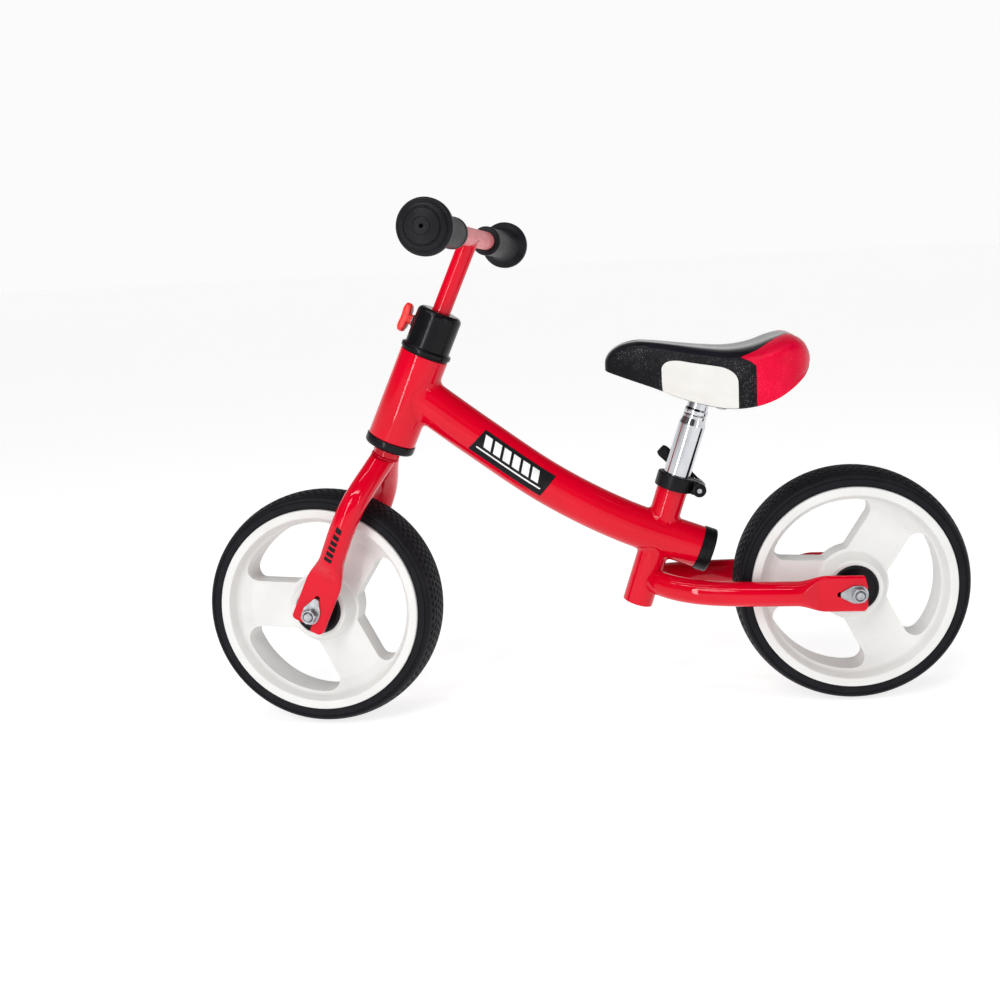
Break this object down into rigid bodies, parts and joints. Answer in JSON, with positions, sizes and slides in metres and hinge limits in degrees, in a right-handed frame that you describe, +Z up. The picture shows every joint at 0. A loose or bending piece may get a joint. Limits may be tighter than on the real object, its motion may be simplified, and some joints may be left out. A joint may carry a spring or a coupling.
{
  "type": "balance bike",
  "caption": "Child's balance bike with moulded three-spoke wheels, one bent main tube, a turning handlebar, and a saddle on an adjustable post.",
  "frame": {"origin": "On the ground, midway along, across and under the whole bike.", "axes": "+X is forwards, +Y is the rider's left, +Z is up."},
  "size_m": [0.7988, 0.3456, 0.5324],
  "materials": {
    "red_paint": "gloss enamel",
    "white_plastic": "satin moulded",
    "black_plastic": "satin moulded",
    "orange_plastic": "satin moulded",
    "tyre_foam": "matt, fine tread",
    "grip_rubber": "matt",
    "saddle_cover": "grained vinyl in black, white and red panels",
    "chrome": "polished",
    "zinc_steel": "zinc plated"
  },
  "bodies": {
    "frame": {"head_tube": "red_paint", "lower_headset_cup": "black_plastic", "upper_headset_bush": "black_plastic", "main_tube": "red_paint", "main_tube_cap": "black_plastic", "chainstay_left": "red_paint", "chainstay_right": "red_paint", "seat_tube": "red_paint", "seat_collar": "black_plastic", "collar_skewer": "zinc_steel", "collar_skewer_nut": "black_plastic", "collar_lever_pin": "zinc_steel", "rear_axle": "zinc_steel", "rear_spacer_left": "zinc_steel", "rear_spacer_right": "zinc_steel", "rear_tab_washer_left": "chrome", "rear_tab_washer_right": "chrome", "rear_nut_left": "chrome", "rear_nut_right": "chrome"},
    "fork": {"steerer_tube": "red_paint", "fork_leg_left": "red_paint", "fork_leg_right": "red_paint", "steering_collar": "black_plastic", "front_axle": "zinc_steel", "front_spacer_left": "zinc_steel", "front_spacer_right": "zinc_steel", "front_tab_washer_left": "chrome", "front_tab_washer_right": "chrome", "front_nut_left": "chrome", "front_nut_right": "chrome"},
    "handlebar": {"handlebar_stem": "red_paint", "crossbar": "red_paint", "grip_left": "grip_rubber", "grip_right": "grip_rubber"},
    "knob": {"clamp_knob": "orange_plastic", "clamp_screw": "zinc_steel"},
    "front_wheel": {"front_tyre": "tyre_foam", "front_rim": "white_plastic", "front_hub_cap_left": "black_plastic", "front_hub_cap_right": "black_plastic", "front_bearing_left": "zinc_steel", "front_bearing_right": "zinc_steel"},
    "rear_wheel": {"rear_tyre": "tyre_foam", "rear_rim": "white_plastic", "rear_hub_cap_left": "black_plastic", "rear_hub_cap_right": "black_plastic", "rear_bearing_left": "zinc_steel", "rear_bearing_right": "zinc_steel"},
    "seat_post": {"seat_post": "chrome", "saddle_clamp": "zinc_steel"},
    "saddle": {"saddle_pad": "saddle_cover", "saddle_pan": "black_plastic", "saddle_rail_left": "zinc_steel", "saddle_rail_right": "zinc_steel", "saddle_clamp_cheek_left": "zinc_steel", "saddle_clamp_cheek_right": "zinc_steel", "saddle_clamp_bolt": "zinc_steel"},
    "collar_lever": {"collar_lever": "black_plastic"}
  },
  "joints": [
    {"name": "steering", "type": "hinge", "parent": "frame", "child": "fork", "pos_m": [0.17325, 0, 0.34011], "axis": [-0.4289, 0, 0.9033], "range_deg": [-52.7, 67.3]},
    {"name": "handlebar_height", "type": "slide", "parent": "fork", "child": "handlebar", "axis": [-0.4289, 0, 0.9033], "range_m": [-0.04, 0.045]},
    {"name": "knob_turn", "type": "hinge", "parent": "fork", "child": "knob", "pos_m": [0.16369, -0.00318, 0.41804], "axis": [0.896, -0.1271, 0.4255], "range_deg": [-180, 180]},
    {"name": "front_wheel_spin", "type": "hinge", "parent": "fork", "child": "front_wheel", "pos_m": [0.27619, 0, 0.12331], "axis": [0.1148, 0.9919, 0.0545], "continuous": true},
    {"name": "rear_wheel_spin", "type": "hinge", "parent": "frame", "child": "rear_wheel", "pos_m": [-0.27641, 0, 0.12331], "axis": [0, 1, 0], "continuous": true},
    {"name": "seat_height", "type": "slide", "parent": "frame", "child": "seat_post", "axis": [-0.3289, 0, 0.9444], "range_m": [-0.025, 0.045]},
    {"name": "saddle_tilt", "type": "hinge", "parent": "seat_post", "child": "saddle", "pos_m": [-0.14777, 0, 0.32665], "axis": [0, 1, 0], "range_deg": [-6, 6]},
    {"name": "collar_lever_swing", "type": "hinge", "parent": "frame", "child": "collar_lever", "pos_m": [-0.12149, -0.0154, 0.22991], "axis": [0.7218, 0, -0.6921], "range_deg": [0, 150]}
  ]
}
